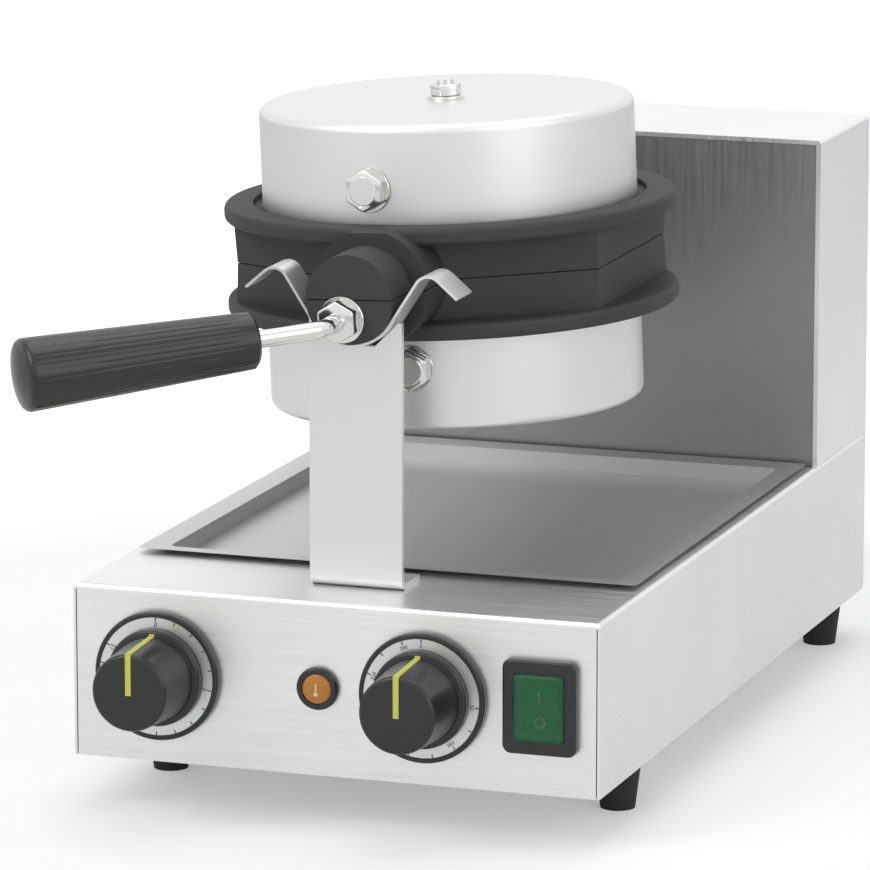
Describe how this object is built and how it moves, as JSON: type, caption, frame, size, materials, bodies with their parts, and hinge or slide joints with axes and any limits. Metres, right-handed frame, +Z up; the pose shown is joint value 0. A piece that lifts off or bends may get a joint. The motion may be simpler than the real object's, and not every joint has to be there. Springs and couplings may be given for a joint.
{
  "type": "rotating bubble waffle maker",
  "caption": "Countertop bubble waffle maker: a round hinged head that turns over on a steel base with a tower, drip tray and front controls.",
  "frame": {"origin": "on the bench, under the middle of the overall box, handle included", "axes": "+X to the right of the control panel, +Y from the control panel to the tower, +Z up"},
  "size_m": [0.25, 0.5609, 0.3168],
  "materials": {
    "housing_sheet": "bright brushed stainless sheet",
    "tray_sheet": "fine brushed stainless sheet",
    "support_steel": "satin steel strip",
    "drum_steel": "spun stainless with a circular brush",
    "cast_plate": "grey cast iron with a fine grain",
    "zinc": "bright zinc-plated steel",
    "machined_steel": "turned and milled steel",
    "bronze": "plain bearing bronze",
    "element_steel": "heat-tinted element sheath",
    "black_plastic": "smooth black plastic",
    "foot_rubber": "black rubber",
    "dial_silver": "silver dial ring with printed marks",
    "pointer_yellow": "yellow-green pointer",
    "lamp_amber": "amber lens",
    "rocker_green": "green rocker",
    "cap_silicone": "clear green silicone cover",
    "inner_plastic": "pale inner plastic",
    "gland_plastic": "black gland plastic",
    "spindle_steel": "turned spindle"
  },
  "bodies": {
    "stand": {"base_housing": "housing_sheet", "bottom_plate": "housing_sheet", "tower_shell": "housing_sheet", "tower_front_plate": "housing_sheet", "rear_cover": "housing_sheet", "housing_screws": "zinc", "cable_gland": "gland_plastic", "cable_gland_nut": "gland_plastic", "foot_front_left": "foot_rubber", "foot_front_right": "foot_rubber", "foot_rear_left": "foot_rubber", "foot_rear_right": "foot_rubber", "foot_screws": "zinc", "front_upright": "support_steel", "upright_screws": "zinc", "cradle_spring": "support_steel", "bearing_housing": "machined_steel", "shaft_bushes": "bronze", "timer_bezel": "black_plastic", "timer_dial": "dial_silver", "timer_unit": "inner_plastic", "thermostat_bezel": "black_plastic", "thermostat_dial": "dial_silver", "thermostat_unit": "inner_plastic", "pilot_bezel": "black_plastic", "pilot_lens": "lamp_amber", "pilot_body": "inner_plastic", "switch_frame": "black_plastic", "switch_cap": "cap_silicone", "switch_body": "inner_plastic", "terminal_block": "inner_plastic"},
    "tray": {"drip_tray": "tray_sheet"},
    "head": {"lower_plate": "cast_plate", "lower_boss": "cast_plate", "lower_drum": "drum_steel", "lower_stud": "zinc", "lower_stud_nut": "zinc", "lower_drum_bolt": "zinc", "lower_heating_element": "element_steel", "handle_rod": "zinc", "handle_nut": "zinc", "handle_grip": "black_plastic", "hinge_pin": "machined_steel", "hinge_yoke": "machined_steel", "head_shaft": "machined_steel", "shaft_collar": "machined_steel"},
    "lid": {"upper_plate": "cast_plate", "upper_boss": "cast_plate", "upper_drum": "drum_steel", "upper_stud": "zinc", "upper_stud_nut": "zinc", "upper_drum_bolt": "zinc", "upper_heating_element": "element_steel"},
    "timer": {"timer_knob": "black_plastic", "timer_pointer": "pointer_yellow", "timer_spindle": "spindle_steel"},
    "thermostat": {"thermostat_knob": "black_plastic", "thermostat_pointer": "pointer_yellow", "thermostat_spindle": "spindle_steel"},
    "rocker": {"switch_rocker": "rocker_green"}
  },
  "joints": [
    {"name": "head_turn", "type": "hinge", "parent": "stand", "child": "head", "pos_m": [0, -0.009, 0.2375], "axis": [0, 1, 0], "range_deg": [-177.6, 2.4]},
    {"name": "lid_open", "type": "hinge", "parent": "head", "child": "lid", "pos_m": [0, 0.102, 0.2375], "axis": [-0.9991, 0, -0.0419], "range_deg": [0, 90]},
    {"name": "timer_turn", "type": "hinge", "parent": "stand", "child": "timer", "pos_m": [-0.0835, -0.172, 0.0645], "axis": [0, 1, 0], "range_deg": [0, 300]},
    {"name": "thermostat_turn", "type": "hinge", "parent": "stand", "child": "thermostat", "pos_m": [0.043, -0.172, 0.0645], "axis": [0, 1, 0], "range_deg": [0, 335]},
    {"name": "switch_tilt", "type": "hinge", "parent": "stand", "child": "rocker", "pos_m": [0.098, -0.169, 0.0645], "axis": [-1, 0, 0], "range_deg": [0, 12]},
    {"name": "tray_lift", "type": "slide", "parent": "stand", "child": "tray", "axis": [0, 0, 1], "range_m": [0, 0.02]}
  ]
}
